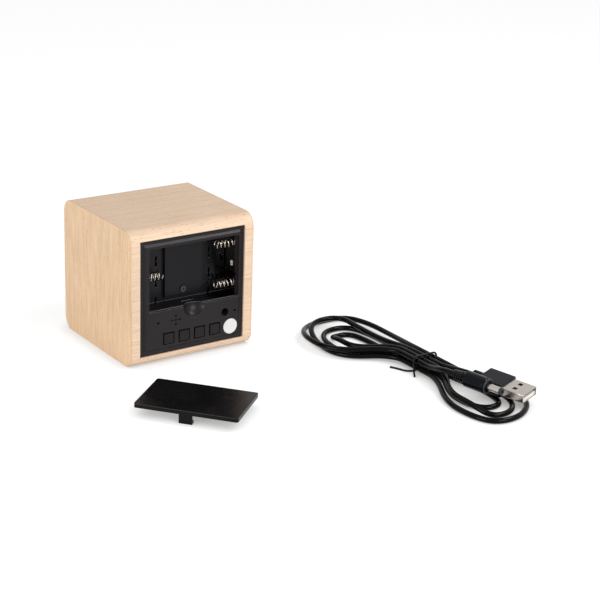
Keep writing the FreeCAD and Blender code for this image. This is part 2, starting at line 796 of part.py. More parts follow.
def arc_edge(start, corner, end):
    """The arc that touches both legs of a corner, or a straight edge where they are in line."""
    chord_middle = (start + end) * 0.5
    inward = corner - chord_middle
    leg = (corner - start).Length
    if inward.Length < 1e-4 * leg:
        return Part.LineSegment(start, end).toShape()
    half_turn = math.asin(min(1.0, inward.Length / leg))
    sagitta = leg / math.tan(half_turn) * (1 - math.cos(half_turn))
    on_arc = chord_middle + inward.normalize() * sagitta
    return Part.Arc(start, on_arc, end).toShape()


def tube(route, radius):
    """A round tube along points with directions; returns the solid and its centre line."""
    edges = []
    for (p0, t0), (p1, t1) in zip(route, route[1:]):
        edges += biarc(p0, t0, p1, t1)
    line = Part.Wire(edges)
    start, direction = route[0]
    ring = Part.Wire([Part.Circle(start, direction, radius).toShape()])
    return line.makePipeShell([ring], True, False), line


def least_gap(name, line, radius):
    """Print the least distance between stretches of a wire that aren't neighbours."""
    step = radius / 2
    count = int(line.Length / step)
    points = line.discretize(count)
    skip = int(2.5 * math.pi * radius / step) + 1
    cell = 4 * radius
    grid = {}
    least = 1e9
    for index, point in enumerate(points):
        key = (int(point.x // cell), int(point.y // cell), int(point.z // cell))
        for dx in (-1, 0, 1):
            for dy in (-1, 0, 1):
                for dz in (-1, 0, 1):
                    for other in grid.get((key[0] + dx, key[1] + dy, key[2] + dz), ()):
                        if index - other > skip:
                            least = min(least, point.distanceToPoint(points[other]))
        grid.setdefault(key, []).append(index)
    print("%s: length %.1f, least gap to itself %.2f" % (name, line.Length, least - 2 * radius))


SPRING_TURNS = 4


def battery_spring(name, side, row):
    """A tapering spring on an end wall; side is the wall, and the spring points inwards."""
    wire = number("spring_wire")
    wall = number("well_left" if side < 0 else "well_right")
    foot = wall - side * (number("contact_thickness + joint_gap * 4") + wire / 2)
    length = number("spring_length") - wire
    base, tip = number("spring_base_radius"), number("spring_tip_radius")
    y, z = number("cell_y"), number(row)
    route = []
    steps = 4 * SPRING_TURNS
    for step in range(steps + 1):
        share = step / steps
        angle = step * math.pi / 2
        radius = base + (tip - base) * share
        x = foot - side * length * share
        point = FreeCAD.Vector(x, y + radius * math.cos(angle), z + radius * math.sin(angle))
        rise = -side * length / steps / (radius * math.pi / 2)
        direction = FreeCAD.Vector(rise, -math.sin(angle), math.cos(angle)).normalize()
        route.append((point, direction))
    for end, way in ((0, -1), (-1, 1)):
        point, direction = route[end]
        extra = (point + direction * (way * wire), direction)
        if end:
            route.append(extra)
        else:
            route.insert(0, extra)
    shape, line = tube(route, wire / 2)
    least_gap(name, line, wire / 2)
    piece(name, wound(name, shape))


# Controls and boards

def buttons():
    for count, step in enumerate(BUTTON_STEPS, 1):
        body = new_body("button")
        cap = around(button_x(step), "button_row_z", "button_width", "button_width")
        slab(body, "XZ", "button_back", "button_top", rounded(*cap, "button_corner"))
        skirt = around(button_x(step), "button_row_z", "button_skirt", "button_skirt")
        slab(body, "XZ", "button_heel", "button_back", rounded(*skirt, "button_corner"))
        piece("button_%d" % count, body)


def button_switches():
    solids = []
    for step in BUTTON_STEPS:
        sides = around(button_x(step), "button_row_z", "switch_width", "switch_width")
        base = block(sides[0], sides[1], "main_board_face", "switch_face - switch_plunger",
                     sides[2], sides[3])
        plunger = rod("Y", "switch_plunger_radius", "switch_face - switch_plunger - joint_gap", "switch_face",
                      button_x(step), "button_row_z")
        solids.append(join(base, plunger))
    piece("button_switches", together(*solids))


def small_controls():
    sides = around("reset_x", "jack_z", "reset_width", "reset_width")
    body = block(sides[0], sides[1], "main_board_face", "main_board_face + reset_body", sides[2], sides[3])
    stem = rod("Y", "reset_hole_radius", "main_board_face + reset_body - joint_gap", "rim_back - sight_gap",
               "reset_x", "jack_z")
    piece("reset_switch", join(body, stem))
    capsule = rod("Y", "mic_radius", "rim_back - sight_gap - mic_length", "rim_back - sight_gap",
                  "mic_hole_x", "mic_hole_z")
    legs = [rod("Y", "jack_pin_radius", "main_board_face", "rim_back - sight_gap - mic_length + joint_gap",
                "mic_hole_x + mic_radius * mic_leg_share * (%s)" % side, "mic_hole_z") for side in (-1, 1)]
    piece("microphone", join(capsule, *legs))


def dc_jack():
    body = new_body("jack")
    front = "rim_back - joint_gap"
    slab(body, "XZ", front + " - jack_length", front,
         rectangle(*around("jack_x", "jack_z", "jack_width", "jack_height")))
    hollow(body, "XZ", front + " - jack_bore_depth", front + " + overrun",
           circle("jack_x", "jack_z", "jack_bore_radius"))
    piece("dc_jack", body)
    piece("dc_jack_pin", rod("Y", "jack_pin_radius", front + " - jack_bore_depth",
                             front + " - jack_bore_depth + jack_pin_length", "jack_x", "jack_z"))


def main_board():
    body = new_body("board")
    slab(body, "XZ", "main_board_back", "main_board_face",
         rectangle("0 - main_board_half", "main_board_half",
                   "main_board_base", "main_board_base + main_board_height"))
    low, high = "main_board_back - overrun", "main_board_face + overrun"
    jack = around("jack_x", "jack_z", "jack_width + sight_gap * 2", "jack_height + sight_gap * 2")
    hollow(body, "XZ", low, high, rectangle(*jack))
    hollow(body, "XZ", low, high, circle("speaker_x", "speaker_z", "sound_window_radius"))
    for x, z in BOARD_SCREW_PLACES:
        hollow(body, "XZ", low, high, circle(x, z, "screw_hole_radius"))
    piece("main_board", body)


CHIP_PLACE_SHARES = (-0.16, -0.05)


def board_chips():
    solids = []
    for share in CHIP_PLACE_SHARES:
        sides = around("main_board_half * 2 * (%s)" % share, "main_board_base + main_board_height / 2",
                       "chip_width", "chip_length")
        solids.append(block(sides[0], sides[1], "main_board_back - chip_height", "main_board_back",
                            sides[2], sides[3]))
    piece("board_chips", together(*solids))


def board_screws():
    solids = []
    for x, z in BOARD_SCREW_PLACES:
        head = rod("Y", "board_screw_head", "main_board_back - joint_gap - screw_head_height",
                   "main_board_back - joint_gap", x, z)
        shank = rod("Y", "screw_shank_radius", "main_board_back - joint_gap", "rim_back - sight_gap", x, z)
        solids.append(join(head, shank))
    piece("board_screws", together(*solids))


def speaker():
    x, z = "speaker_x", "speaker_z"
    shell = rod("Y", "speaker_radius", "speaker_back", "speaker_rim", x, z)
    inside = taper("Y", "magnet_radius", "speaker_radius - speaker_wall",
                   "speaker_back + speaker_wall", "speaker_rim + joint_gap / 2", x, z)
    piece("speaker_frame", minus(shell, inside))
    throat = "speaker_back + speaker_wall + cone_thickness"
    wide = "speaker_radius - speaker_wall * 2"
    outer = taper("Y", "cone_throat_radius", wide, throat, "speaker_rim - cone_thickness", x, z)
    inner = taper("Y", "cone_throat_radius", wide, throat + " + cone_thickness",
                  "speaker_rim", x, z)
    piece("speaker_cone", minus(outer, inner))
    piece("speaker_magnet", rod("Y", "magnet_radius", "speaker_back - magnet_height", "speaker_back", x, z))


# Display

def digit_middle(place):
    """The middle of one of four digits, in two pairs beside the colon."""
    side = "digit_pitch / 2 + digit_pair_gap / 2"
    return {
        0: "0 - (%s) - digit_pitch" % side,
        1: "0 - (%s)" % side,
        2: side,
        3: "(%s) + digit_pitch" % side,
    }[place]


def segments(place):
    """Centre, width and height of the seven segments of a digit."""
    x = digit_middle(place)
    reach = "(digit_width - segment_width) / 2"
    rise = "(digit_height - segment_width) / 2"
    length_x = "digit_width - segment_width * 2"
    length_z = "(digit_height - segment_width) / 2 - segment_width * segment_end_share"
    flat = [(x, "middle_z + %s * (%s)" % (up, rise), length_x, "segment_width") for up in ("1", "0", "(-1)")]
    tall = [("%s + %s * (%s)" % (x, across, reach), "middle_z + %s * (%s) / 2" % (up, rise),
             "segment_width", length_z) for across in ("1", "(-1)") for up in ("1", "(-1)")]
    return flat + tall


def display():
    sides = around("0", "middle_z", "window_width - film_margin", "window_height - film_margin")
    piece("display_diffuser", block(sides[0], sides[1], "skin_y + joint_gap", "film_back",
                                    sides[2], sides[3]))
    body = new_body("light_box")
    slab(body, "XZ", "light_box_front", "light_box_back", rectangle(*sides))
    slots = [rectangle(*around(*segment)) for place in range(4) for segment in segments(place)]
    slots += [circle("0", "middle_z + colon_spacing / 2 * (%s)" % up, "colon_radius")
              for up in ("1", "0 - 1")]
    hollow(body, "XZ", "light_box_front - overrun", "light_box_back + overrun", *slots)
    piece("light_box", body)
    piece("display_board", block(sides[0], sides[1], "leds_board_front", "leds_board_back",
                                 sides[2], sides[3]))
    lamps = []
    for place in range(4):
        for x, z, width, height in segments(place):
            upright = height != "segment_width"
            long_side, short_side = "led_length", "led_height"
            box = around(x, z, short_side if upright else long_side, long_side if upright else short_side)
            lamps.append(block(box[0], box[1], "leds_board_front - led_height", "leds_board_front",
                               box[2], box[3]))
    piece("display_leds", together(*lamps))


def display_frame():
    body = new_body("tray")
    middle = "0"
    slab(body, "XZ", "tray_front", "tray_back",
         rectangle(*around(middle, "middle_z", "tray_half_x * 2", "tray_half_z * 2")))
    inside = around(middle, "middle_z", "(tray_half_x - tray_wall) * 2", "(tray_half_z - tray_wall) * 2")
    hollow(body, "XZ", "tray_front - overrun", "tray_seat", rectangle(*inside))
    corners = [("(tray_half_x - tray_ear / 2) * (%d)" % side_x,
                "middle_z + (tray_half_z + tray_ear / 2) * (%d)" % side_z)
               for side_x in (-1, 1) for side_z in (-1, 1)]
    ears = [rectangle(*around(x, z, "tray_ear", "tray_ear")) for x, z in corners]
    slab(body, "XZ", "tray_front", "tray_front + tray_floor", *ears)
    holes = [circle(x, z, "screw_hole_radius") for x, z in corners]
    hollow(body, "XZ", "tray_front - overrun", "tray_front + tray_floor + overrun", *holes)
    slab(body, "XZ", "tray_back - joint_gap", "floor_back - joint_gap",
         circle("panel_screw_x", "screw_z", "post_radius"))
    hollow(body, "XZ", "floor_back - joint_gap - screw_bite - overrun", "floor_back + overrun",
           circle("panel_screw_x", "screw_z", "screw_hole_radius"))
    piece("display_frame", body)
    seat = "tray_front + tray_floor + joint_gap"
    screws = [rod("Y", "board_screw_head", seat, seat + " + screw_head_height", x, z) for x, z in corners]
    piece("frame_screws", together(*screws))


def ribbon_cable():
    """A flat cable that drops behind the main board, runs forward and climbs to the display frame."""
    front, back = "tray_back + joint_gap", "main_board_back - joint_gap"
    body = new_body("ribbon")
    width = "ribbon_width / 2"
    place = "0 - main_board_half / 2"
    base = "board_wall + sight_gap"
    slab(body, "YZ", place + " - " + width, place + " + " + width,
         rounded(front, back, base, base + " + ribbon_drop * 2 + ribbon_thickness", "ribbon_bend"))
    hollow(body, "YZ", place + " - " + width + " - overrun", place + " + " + width + " + overrun",
           rounded(front + " + ribbon_thickness", back + " - ribbon_thickness", base + " + ribbon_thickness",
                   base + " + ribbon_drop * 3 + ribbon_thickness", "ribbon_bend - ribbon_thickness"))
    piece("ribbon_cable", body)


# Battery cover, in its own frame: outer face up, latch edge towards -Y

def battery_cover():
    body = new_body("cover")
    half_x, half_y = "cover_width / 2", "cover_height / 2"
    top = "cover_stand + cover_plate"
    slab(body, "XY", "cover_stand", top,
         rounded("0 - " + half_x, half_x, "0 - " + half_y, half_y, "cover_corner"))
    hollow(body, "XY", "cover_stand - overrun", "cover_stand + cover_hollow",
           rectangle("cover_skirt - " + half_x, half_x + " - cover_skirt",
                     "cover_skirt - " + half_y, half_y + " - cover_skirt"))
    for step in (-0.5, 0.5):
        x = "lug_spacing * (%s)" % step
        slab(body, "XY", "0", "cover_stand + cover_hollow",
             rectangle(x + " - lug_width / 2", x + " + lug_width / 2",
                       half_y + " - lug_thickness - joint_gap", half_y + " - joint_gap"))
    near = "joint_gap - " + half_y
    slab(body, "XY", "0", "cover_stand + cover_hollow",
         rectangle("0 - latch_width / 2", "latch_width / 2", near, near + " + latch_thickness"))
    slab(body, "XY", "0", "latch_barb * 2",
         rectangle("0 - latch_width / 2", "latch_width / 2", near + " + latch_thickness - joint_gap",
                   near + " + latch_thickness + latch_gap"))
    piece("battery_cover", body)
    lay(body, "cover_x", "cover_y", "0", number("cover_angle"), 0, 0)


# Supply lead. Places are given beside the tie: across (towards +X), along (towards +Y), up.

FLOOR_LAYER = 1.45
UPPER_LAYER = 5.0
TIED_FLOOR_LAYER = 2.7
TIED_UPPER_LAYER = 6.25
LANE = 3.45
WAIST = (2.0, 4.5)
# Lane and height of each pass through the tie
PASSES = [
    (-0.5, TIED_UPPER_LAYER),
    (1.5, TIED_FLOOR_LAYER),
    (-1.5, TIED_FLOOR_LAYER),
    (0.5, TIED_FLOOR_LAYER),
    (-0.5, TIED_FLOOR_LAYER),
    (0.5, TIED_UPPER_LAYER),
    (-1.5, TIED_UPPER_LAYER),
    (1.5, TIED_UPPER_LAYER),
]
# Each bend: way, then leaving, turning and returning places, then how far its two ends stay in lane
BENDS = [
    (-1, (3, -38, UPPER_LAYER), (12, -68, UPPER_LAYER), (30, -41, FLOOR_LAYER), 6, 5),
    (1, (20, 56, FLOOR_LAYER), (8, 74, FLOOR_LAYER), (-16.5, 52, FLOOR_LAYER), 4, 2),
    (-1, (-2, -38, FLOOR_LAYER), (10, -61, FLOOR_LAYER), (25.5, -41, FLOOR_LAYER), 6, 8),
    (1, (12.5, 46, FLOOR_LAYER), (4, 59, FLOOR_LAYER), (-4.5, 44, FLOOR_LAYER), 8, 8),
    (-1, (5, -33.5, FLOOR_LAYER), (13.5, -52, FLOOR_LAYER), (22, -38, UPPER_LAYER), 8, 10),
    (1, (15.5, 50, 4.4), (6, 68, FLOOR_LAYER), (-9, 50, 2), 8, 7),
    (-1, (-8.5, -48, 3), (4, -74, FLOOR_LAYER), (34.5, -46, 4.6), 4, 4),
]
USB_END = (-3.6, 35.6, 7.6)
USB_WAY = (0.285, -0.957, 0.04)
DC_END = (8.0, 34.3, 10.2)
DC_WAY = (-0.186, 0.983, 0.0)
TAIL_IN_LANE = 7
LAST_IN_LANE = 4
TIE_ENDS = ((15.0, -6.4), (12.0, 9.5))


def beside_tie(across, along, up):
    return FreeCAD.Vector(number("tie_x") + across, number("tie_y") + along, up)


def hank_route():
    """Points and directions from the square plug's end, round every loop, to the round plug's end."""
    def node(place, direction):
        route.append((beside_tie(*place), FreeCAD.Vector(*direction).normalize()))

    def in_lane(count, along, way):
        lane, height = PASSES[count]
        node((WAIST[0] + lane * LANE, WAIST[1] + along, height), (0, way, 0))

    route = []
    node(USB_END, USB_WAY)
    in_lane(0, TAIL_IN_LANE, -1)
    for count, (way, leaving, turning, returning, first, last) in enumerate(BENDS):
        in_lane(count, way * first, way)
        node(leaving, (0, way, 0))
        node(turning, (-way, 0, 0))
        node(returning, (0, -way, 0))
        in_lane(count + 1, way * last, -way)
    in_lane(len(PASSES) - 1, LAST_IN_LANE, 1)
    node(DC_END, DC_WAY)
    return route


def straight_ends(route, run):
    """Let a wire leave and arrive straight for a short run."""
    (first, way_out), (last, way_in) = route[0], route[-1]
    leaving = (first + way_out * run, way_out)
    arriving = (last - way_in * run, way_in)
    return [route[0], leaving] + route[1:-1] + [arriving, route[-1]]


def lead_hank():
    radius = number("cord_radius")
    route = straight_ends(hank_route(), 2 * radius)
    shape, line = tube(route, radius)
    least_gap("lead_hank", line, radius)
    section = math.pi * radius ** 2
    print("lead_hank: volume over section times length %.4f" % (shape.Volume / (section * line.Length)))
    piece("lead_hank", wound("hank", shape))


def twist_tie():
    """One turn of covered wire round the waist, with its two ends twisted out beside it."""
    wire = number("tie_wire")
    cord = number("cord_radius")
    lanes = [lane for lane, height in PASSES]
    play = number("sight_gap") + wire
    left = WAIST[0] + min(lanes) * LANE - cord - play
    right = WAIST[0] + max(lanes) * LANE + cord + play
    low = number("joint_gap") + wire
    high = TIED_UPPER_LAYER + cord + play
    bend = cord + play
    along = WAIST[1]
    drift = number("tie_drift_share") * wire
    places = [
        (TIE_ENDS[0] + (low,), (-0.5, 0.85, 0)),
        ((right - bend, along - drift, low), (-1, 0, 0)),
        ((left + bend, along - drift, low), (-1, 0, 0)),
        ((left, along, low + bend), (0, 0, 1)),
        ((left, along, high - bend), (0, 0, 1)),
        ((left + bend, along, high), (1, 0, 0)),
        ((right - bend, along, high), (1, 0, 0)),
        ((right, along + drift / 2, high - bend), (0, 0, -1)),
        ((right, along + drift, low + bend), (0, 0, -1)),
        (TIE_ENDS[1] + (low,), (0.6, 0.8, 0)),
    ]
    route = [(beside_tie(*place), FreeCAD.Vector(*way).normalize()) for place, way in places]
    shape, line = tube(route, wire)
    least_gap("twist_tie", line, wire)
    piece("twist_tie", wound("tie", shape))


def lay_dc(item):
    turn = math.degrees(math.atan2(DC_WAY[1], DC_WAY[0]))
    across, along, up = DC_END
    lay(item, "tie_x + (%s)" % across, "tie_y + (%s)" % along, "%s" % up, turn, 0, 0)


def dc_plug():
    """The round plug, along +X from the end of the cord."""
    zero = "0"
    relief = taper("X", "relief_back_radius", "relief_front_radius", zero, "relief_length", zero, zero)
    grooves = []
    ribs = int(number("relief_ribs"))
    for count in range(ribs):
        middle = "relief_length * (%d + relief_groove_share) / relief_ribs" % count
        ring = rod("X", "relief_front_radius + overrun", middle + " - relief_groove / 2",
                   middle + " + relief_groove / 2", zero, zero)
        core = rod("X", "relief_back_radius - relief_groove / 2", middle + " - relief_groove",
                   middle + " + relief_groove", zero, zero)
        grooves.append(minus(ring, core))
    strain_relief = minus(relief, *grooves)
    piece("dc_strain_relief", strain_relief)
    start = "relief_length"
    end = "relief_length + dc_body_length"
    nose = end + " - dc_nose_length"
    shoulder = taper("X", "relief_front_radius", "dc_body_radius", start, start + " + dc_nose_length",
                     zero, zero)
    grip = rod("X", "dc_body_radius", start + " + dc_nose_length", nose, zero, zero)
    front = taper("X", "dc_body_radius", "dc_nose_radius", nose, end, zero, zero)
    plug_body = join(shoulder, grip, front)
    piece("dc_plug_body", plug_body)
    barrel = minus(rod("X", "dc_barrel_radius", end, end + " + dc_barrel_length - dc_tip_length", zero, zero),
                   rod("X", "dc_barrel_bore", end + " + overrun", end + " + dc_barrel_length", zero, zero))
    piece("dc_barrel", barrel)
    tip = minus(rod("X", "dc_barrel_radius", end + " + dc_barrel_length - dc_tip_length",
                    end + " + dc_barrel_length", zero, zero),
                rod("X", "dc_barrel_bore", end, end + " + dc_barrel_length + overrun", zero, zero))
    piece("dc_barrel_tip", tip)
    for item in (strain_relief, plug_body, barrel, tip):
        lay_dc(item)


USB_ROLL = 5


def lay_usb(item):
    way = [-share for share in USB_WAY]
    turn = math.degrees(math.atan2(way[1], way[0]))
    tilt = math.degrees(math.atan2(-way[2], math.hypot(way[0], way[1])))
    across, along, up = USB_END
    lay(item, "tie_x + (%s)" % across, "tie_y + (%s)" % along, "%s" % up, turn, tilt, USB_ROLL)


def usb_plug():
    """The square plug, along +X from the end of the cord."""
    zero = "0"
    body_end = "usb_neck_length + usb_body_length"
    shell_end = body_end + " + usb_shell_length"
    over = new_body("overmould")
    slab(over, "YZ", "usb_neck_length", body_end,
         rounded(*around(zero, zero, "usb_body_width", "usb_body_height"), "usb_body_corner"))
    slab(over, "YZ", zero, "usb_neck_length + joint_gap", circle(zero, zero, "usb_neck_radius"))
    piece("usb_overmould", over)
    shell = new_body("shell")
    slab(shell, "YZ", body_end, shell_end,
         rounded(*around(zero, zero, "usb_shell_width", "usb_shell_height"), "usb_shell_corner"))
    hollow(shell, "YZ", body_end + " + usb_shell_wall", shell_end + " + overrun",
           rectangle(*around(zero, zero, "usb_shell_width - usb_shell_wall * 2",
                             "usb_shell_height - usb_shell_wall * 2")))
    windows = [rectangle(body_end + " + usb_window_place", body_end + " + usb_window_place + usb_window",
                         "usb_window_spacing * (%s) - usb_window / 2" % step,
                         "usb_window_spacing * (%s) + usb_window / 2" % step) for step in (-0.5, 0.5)]
    hollow(shell, "XY", "0 - usb_shell_height", "usb_shell_height", *windows)
    piece("usb_shell", shell)
    inner_half = "usb_shell_height / 2 - usb_shell_wall"
    top = "usb_tongue_height + joint_gap - (" + inner_half + ")"
    tongue = block(body_end + " + usb_shell_wall", shell_end + " - usb_tongue_gap",
                   "usb_shell_wall + usb_tongue_gap - usb_shell_width / 2",
                   "usb_shell_width / 2 - usb_shell_wall - usb_tongue_gap",
                   "joint_gap - (" + inner_half + ")", top)
    strips = []
    for step in (-1.5, -0.5, 0.5, 1.5):
        middle = "usb_contact_pitch * (%s)" % step
        strips.append(block(body_end + " + usb_shell_wall + usb_tongue_gap",
                            shell_end + " - usb_tongue_gap * 4",
                            middle + " - usb_contact_width / 2", middle + " + usb_contact_width / 2",
                            top, top + " + usb_contact_height"))
    contacts_group = together(*strips)
    piece("usb_contacts", contacts_group)
    carrier = together(tongue)
    piece("usb_tongue", carrier)
    for item in (over, shell, contacts_group, carrier):
        lay_usb(item)


case_wrap()
case_sides()
rear_panel()
panel_screw()
panel_sticker()
contacts()
battery_spring("battery_spring_top", -1, "row_top")
battery_spring("battery_spring_middle", 1, "row_middle")
battery_spring("battery_spring_bottom", -1, "row_bottom")
buttons()
button_switches()
small_controls()
dc_jack()
main_board()
board_chips()
board_screws()
speaker()
display()
display_frame()
ribbon_cable()
battery_cover()
lead_hank()
twist_tie()
dc_plug()
usb_plug()
doc.recompute()

for item in doc.Objects:
    if "Invalid" in item.State or "Error" in item.State:
        raise RuntimeError("%s failed: %s" % (item.Name, item.State))
for name, item in SUBPARTS.items():
    if item.Shape.isNull() or not item.Shape.isValid():
        raise RuntimeError("%s has no valid shape" % name)
os.makedirs("parts", exist_ok=True)
for name, item in SUBPARTS.items():
    item.Shape.exportStep("parts/%s.step" % name)
print("%d sub-parts written" % len(SUBPARTS))
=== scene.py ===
"""Talking clock seen from behind, with its loose battery cover and its tied supply lead.

Metres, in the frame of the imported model: +Z up, the display along -Y, the rear panel along +Y.
"""
import math

import bpy
from mathutils import Matrix, Vector

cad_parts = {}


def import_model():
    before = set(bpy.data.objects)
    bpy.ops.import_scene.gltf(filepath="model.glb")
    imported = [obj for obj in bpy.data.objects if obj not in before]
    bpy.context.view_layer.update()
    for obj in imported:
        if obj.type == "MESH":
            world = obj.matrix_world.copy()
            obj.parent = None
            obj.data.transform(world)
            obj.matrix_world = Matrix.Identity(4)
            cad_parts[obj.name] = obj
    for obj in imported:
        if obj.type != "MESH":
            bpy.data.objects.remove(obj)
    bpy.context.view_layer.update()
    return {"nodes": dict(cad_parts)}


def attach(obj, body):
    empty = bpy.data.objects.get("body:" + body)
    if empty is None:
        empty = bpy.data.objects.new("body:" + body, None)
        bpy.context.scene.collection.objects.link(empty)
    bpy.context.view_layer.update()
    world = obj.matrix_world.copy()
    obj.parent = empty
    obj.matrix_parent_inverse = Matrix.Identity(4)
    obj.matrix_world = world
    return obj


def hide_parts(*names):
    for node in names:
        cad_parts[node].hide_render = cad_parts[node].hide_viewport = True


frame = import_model()
nodes = frame["nodes"]

MM = 0.001

# Camera, fitted to the cube's visible edges

CAMERA_PLACE = (0.3973, 0.6854, 0.3106)
CAMERA_YAW = math.radians(-125.41)
CAMERA_PITCH = math.radians(-20.09)
CAMERA_ROLL = math.radians(2.12)
SENSOR = 36.0
FOCAL_SHARE = 1631.8 / 600


def place_camera():
    data = bpy.data.cameras.new("camera")
    data.sensor_width = SENSOR
    data.lens = SENSOR * FOCAL_SHARE
    camera = bpy.data.objects.new("camera", data)
    bpy.context.scene.collection.objects.link(camera)
    forward = Vector((
        math.cos(CAMERA_PITCH) * math.cos(CAMERA_YAW),
        math.cos(CAMERA_PITCH) * math.sin(CAMERA_YAW),
        math.sin(CAMERA_PITCH),
    ))
    level = forward.cross(Vector((0, 0, 1))).normalized()
    above = level.cross(forward)
    right = level * math.cos(CAMERA_ROLL) + above * math.sin(CAMERA_ROLL)
    up = above * math.cos(CAMERA_ROLL) - level * math.sin(CAMERA_ROLL)
    turn = Matrix((right, up, -forward)).transposed()
    camera.matrix_world = Matrix.Translation(CAMERA_PLACE) @ turn.to_4x4()
    bpy.context.scene.camera = camera


def facing(place, way, axis):
    """The transform that stands at a place and points an axis along a direction."""
    return Matrix.Translation(place) @ way.to_track_quat(axis, "Y").to_matrix().to_4x4()


# Supply lead: the same route as the solid's, beside the tie, in millimetres

TIE = (-93.0, 103.0)
CORD_RADIUS = 1.4
LIP_INSET = 0.75
LIP_RADIUS = 0.5

# Heights of the cord's axis, in the loops and where the tie gathers it
FLOOR_LAYER = 1.45
UPPER_LAYER = 5.0
TIED_FLOOR_LAYER = 2.7
TIED_UPPER_LAYER = 6.25

# Each pass through the tie: its lane, counted from the waist, and its height
LANE = 3.45
WAIST = (2.0, 4.5)
PASSES = [
    (-0.5, TIED_UPPER_LAYER),
    (1.5, TIED_FLOOR_LAYER),
    (-1.5, TIED_FLOOR_LAYER),
    (0.5, TIED_FLOOR_LAYER),
    (-0.5, TIED_FLOOR_LAYER),
    (0.5, TIED_UPPER_LAYER),
    (-1.5, TIED_UPPER_LAYER),
    (1.5, TIED_UPPER_LAYER),
]

# Each loop: its side, its way out, its far end, its way back, and how far from the waist it leaves and
# meets a lane
BENDS = [
    (-1, (3, -38, UPPER_LAYER), (12, -68, UPPER_LAYER), (30, -41, FLOOR_LAYER), 6, 5),
    (1, (20, 56, FLOOR_LAYER), (8, 74, FLOOR_LAYER), (-16.5, 52, FLOOR_LAYER), 4, 2),
    (-1, (-2, -38, FLOOR_LAYER), (10, -61, FLOOR_LAYER), (25.5, -41, FLOOR_LAYER), 6, 8),
    (1, (12.5, 46, FLOOR_LAYER), (4, 59, FLOOR_LAYER), (-4.5, 44, FLOOR_LAYER), 8, 8),
    (-1, (5, -33.5, FLOOR_LAYER), (13.5, -52, FLOOR_LAYER), (22, -38, UPPER_LAYER), 8, 10),
    (1, (15.5, 50, 4.4), (6, 68, FLOOR_LAYER), (-9, 50, 2), 8, 7),
    (-1, (-8.5, -48, 3), (4, -74, FLOOR_LAYER), (34.5, -46, 4.6), 4, 4),
]

# Where and which way the cord leaves the square plug and enters the round one, and how far from the waist
# those two ends meet a lane
USB_END = (-3.6, 35.6, 7.6)
USB_WAY = (0.285, -0.957, 0.04)
DC_END = (8.0, 34.3, 10.2)
DC_WAY = (-0.186, 0.983, 0.0)
FIRST_IN_LANE = 7
LAST_IN_LANE = 4

NEARLY_STRAIGHT = 1e-9


def beside_tie(across, along, up):
    return Vector((TIE[0] + across, TIE[1] + along, up)) * MM


def hank_route():
    """Places and directions from the square plug, round every loop, to the round plug."""
    def node(place, way):
        route.append((beside_tie(*place), Vector(way).normalized()))

    def in_lane(count, along, way):
        lane, height = PASSES[count]
        node((WAIST[0] + lane * LANE, WAIST[1] + along, height), (0, way, 0))

    route = []
    node(USB_END, USB_WAY)
    in_lane(0, FIRST_IN_LANE, -1)
    for count, (way, leaving, turning, returning, first, last) in enumerate(BENDS):
        in_lane(count, way * first, way)
        node(leaving, (0, way, 0))
        node(turning, (-way, 0, 0))
        node(returning, (0, -way, 0))
        in_lane(count + 1, way * last, -way)
    in_lane(len(PASSES) - 1, LAST_IN_LANE, 1)
    node(DC_END, DC_WAY)
    return route


def corners_between(p0, t0, p1, t1):
    """The two control points that carry the line from one place and direction to the next."""
    chord = p1 - p0
    both = t0 + t1
    along = chord.dot(both)
    bend = 1 - t0.dot(t1)
    if bend < NEARLY_STRAIGHT:
        reach = chord.dot(chord) / (2 * along)
    else:
        reach = (math.sqrt(along * along + 2 * bend * chord.dot(chord)) - along) / (2 * bend)
    return [p0 + t0 * reach, p1 - t1 * reach]


def plug_lip(finish):
    """The lip that stands round the front face of the round plug."""
    body = nodes["dc_plug_body"]
    start = beside_tie(*DC_END)
    way = Vector(DC_WAY).normalized()
    corners = [body.matrix_world @ corner.co - start for corner in body.data.vertices]
    front = max(corner.dot(way) for corner in corners)
    radius = max((corner - way * corner.dot(way)).length for corner in corners)
    bpy.ops.mesh.primitive_torus_add(major_radius=radius - LIP_INSET * MM, minor_radius=LIP_RADIUS * MM,
                                     major_segments=64, minor_segments=16)
    lip = bpy.context.object
    lip.name = "dc_plug_lip"
    lip.matrix_world = facing(start + way * front, way, "Z")
    lip.data.polygons.foreach_set("use_smooth", [True] * len(lip.data.polygons))
    lip.data.materials.append(finish)
    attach(lip, "supply_lead")
    return lip


def supply_lead(sheath, lip):
    """The cord, from the square plug to the round one."""
    route = hank_route()
    points = [route[0][0]]
    for (p0, t0), (p1, t1) in zip(route, route[1:]):
        points += corners_between(p0, t0, p1, t1)
    points.append(route[-1][0])
    curve = bpy.data.curves.new("supply_cord", "CURVE")
    curve.dimensions = "3D"
    spline = curve.splines.new("NURBS")
    spline.points.add(len(points) - 1)
    for item, point in zip(spline.points, points):
        item.co = (*point, 1)
    spline.order_u = 3
    spline.use_endpoint_u = True
    spline.resolution_u = 8
    curve.bevel_depth = CORD_RADIUS * MM
    curve.bevel_resolution = 6
    curve.use_fill_caps = True
    cord = bpy.data.objects.new("supply_cord", curve)
    bpy.context.scene.collection.objects.link(cord)
    cord.data.materials.append(sheath)
    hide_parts("lead_hank")
    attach(cord, "supply_lead")


# Nodes of a material

ALIKE = (1, 1, 1)
WHITE = (1, 1, 1, 1)

# Change of the normal across a rounded edge, from where its strip starts to where it is full
EDGE_TURN = (0.12, 0.5)


def srgb(red, green, blue):
    """Linear colour of an sRGB triple written 0 to 255."""
    values = [value / 255 for value in (red, green, blue)]
    linear = [v / 12.92 if v <= 0.04045 else ((v + 0.055) / 1.055) ** 2.4 for v in values]
    return (*linear, 1)


def dimmed(colour, red, green, blue):
    """A colour with each channel taken down to a share of it."""
    return (colour[0] * red, colour[1] * green, colour[2] * blue, 1)


